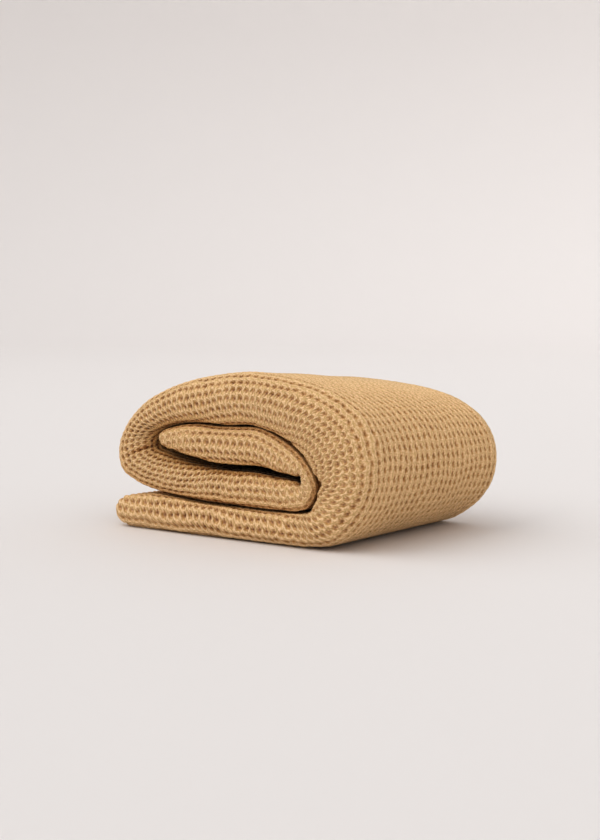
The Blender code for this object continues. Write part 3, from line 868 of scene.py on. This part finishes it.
def grid_mesh(name, points, normals, cells, attributes):
    """A mesh of quads from a grid of points, with its weave as a UV map and attributes for its colour."""
    mesh = bpy.data.meshes.new(name)
    quads = grid_quads(*points.shape[:2])
    mesh.vertices.add(points.size // 3)
    mesh.vertices.foreach_set("co", points.astype(np.float32).ravel())
    mesh.loops.add(quads.size)
    mesh.loops.foreach_set("vertex_index", quads.astype(np.int32).ravel())
    mesh.polygons.add(len(quads))
    mesh.polygons.foreach_set("loop_start", np.arange(0, quads.size, 4, dtype=np.int32))
    mesh.update(calc_edges=True)
    weave = mesh.uv_layers.new(name="weave")
    weave.uv.foreach_set("vector", cells.reshape(-1, 2)[quads.ravel()].astype(np.float32).ravel())
    for attribute_name, values in attributes.items():
        attribute = mesh.attributes.new(attribute_name, "FLOAT", "POINT")
        attribute.data.foreach_set("value", values.astype(np.float32).ravel())
    mesh.shade_smooth()
    mesh.normals_split_custom_set_from_vertices(normals.reshape(-1, 3).astype(np.float32))
    return mesh


def add_pieces(cloth, material):
    """Cuts the pieces from the cloth, dresses them, and attaches them to the root body in place of the
    blanket part."""
    first = 0
    for name, last_cut, outer_fine, inner_fine in PIECES:
        last = min(np.searchsorted(cloth["places"], cloth["at"][last_cut]), len(cloth["places"]) - 1)
        rows = np.arange(first, last + 1)
        take = np.ix_(rows, piece_columns(outer_fine, inner_fine, cloth["points"].shape[1]))
        points, normals, cells = (cloth[key][take] for key in ("points", "normals", "cells"))
        attributes = {key: cloth[key][take] for key in ("pit_depth", "shade", "crossed", "on_edge")}
        mesh = grid_mesh(name, points, normals, cells, attributes)
        mesh.materials.append(material)
        piece = bpy.data.objects.new(name, mesh)
        bpy.context.scene.collection.objects.link(piece)
        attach(piece, "root")
        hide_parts("blanket")
        first = last


# ------------------------------------------------------------------------
# Floor, light and camera
# ------------------------------------------------------------------------

FLOOR_COLOUR = colour(227, 223, 221)
FLOOR_FINISH = {"Roughness": 0.75, "Specular IOR Level": 0.20}
FLOOR_RADIUS = 3.6         # the floor is flat up to here
WALL_BEND = 1.2            # radius of the bend between the floor and the wall
WALL_HEIGHT = 2.4          # low enough for the daylight to come in over it
BEND_STEPS = 24            # grid steps over the bend
ROUND_STEPS = 120          # and all round
WELD = 1e-5                # points closer than this become one


def add_floor():
    """A pale round floor that curves up into a low wall: a straight, a quarter circle and a straight, all
    turned round the roll."""
    turn = np.linspace(0, math.pi / 2, BEND_STEPS + 1)
    radius = np.concatenate([[0.0], FLOOR_RADIUS + WALL_BEND * np.sin(turn), [FLOOR_RADIUS + WALL_BEND]])
    height = np.concatenate([[0.0], WALL_BEND * (1 - np.cos(turn)), [WALL_HEIGHT]])
    angle = np.linspace(0, 2 * math.pi, ROUND_STEPS + 1)
    x = radius[:, None] * np.cos(angle)
    y = radius[:, None] * np.sin(angle)
    grid = np.stack([x, y, np.broadcast_to(height[:, None], x.shape)], axis=2)
    mesh = bpy.data.meshes.new("floor")
    mesh.from_pydata(grid.reshape(-1, 3).tolist(), [], grid_quads(*x.shape).tolist())
    welded = bmesh.new()
    welded.from_mesh(mesh)
    bmesh.ops.remove_doubles(welded, verts=welded.verts, dist=WELD)
    welded.to_mesh(mesh)
    welded.free()
    mesh.shade_smooth()
    material, _, shader = new_material("pale_floor")
    shader.inputs["Base Color"].default_value = FLOOR_COLOUR
    for name, value in FLOOR_FINISH.items():
        shader.inputs[name].default_value = value
    mesh.materials.append(material)
    floor = bpy.data.objects.new("floor", mesh)
    bpy.context.scene.collection.objects.link(floor)


LIGHTS = (
    # name, where it comes from, width in degrees, strength
    ("daylight", (-0.66, -0.62, 0.62), 80, 2.05),
    ("fill", (0.58, -0.50, 0.55), 110, 0.90),
)
SKY_STRENGTH = 0.64
SKY_COLOUR = (1.0, 0.995, 0.995, 1.0)


def add_lights():
    """Soft daylight from the front and left, a weaker one from the right, and an even pale sky."""
    for name, place, width, strength in LIGHTS:
        light = bpy.data.lights.new(name, "SUN")
        light.energy = strength
        light.angle = math.radians(width)
        lamp = bpy.data.objects.new(name, light)
        lamp.rotation_euler = Vector(place).to_track_quat("Z", "Y").to_euler()
        bpy.context.scene.collection.objects.link(lamp)
    world = bpy.data.worlds.new("studio")
    bpy.context.scene.world = world
    world.use_nodes = True
    sky = world.node_tree.nodes["Background"]
    sky.inputs["Color"].default_value = SKY_COLOUR
    sky.inputs["Strength"].default_value = SKY_STRENGTH


SCREEN_GAMMA = 0.88        # a little under 1, which deepens the darker tones as in the photograph

CAMERA_PLACE = (1.13486, -1.49314, 0.30)
CAMERA_TURN_DEG = 37.4     # its direction, turned from +Y towards -X
CAMERA_DOWN_DEG = 5.562    # how far it looks down
CAMERA_LENS = 73.714       # in millimetres, like the width of the sensor
CAMERA_SENSOR = 36.0


def add_camera():
    """The camera at the photograph's viewing angle."""
    camera = bpy.data.cameras.new("camera")
    camera.lens = CAMERA_LENS
    camera.sensor_width = CAMERA_SENSOR
    viewer = bpy.data.objects.new("camera", camera)
    viewer.location = CAMERA_PLACE
    viewer.rotation_euler = (math.radians(90 - CAMERA_DOWN_DEG), 0, math.radians(CAMERA_TURN_DEG))
    bpy.context.scene.collection.objects.link(viewer)
    bpy.context.scene.camera = viewer


bpy.context.scene.view_settings.view_transform = "Standard"
bpy.context.scene.view_settings.gamma = SCREEN_GAMMA
add_pieces(build_cloth(), cotton_material())
add_floor()
add_lights()
add_camera()
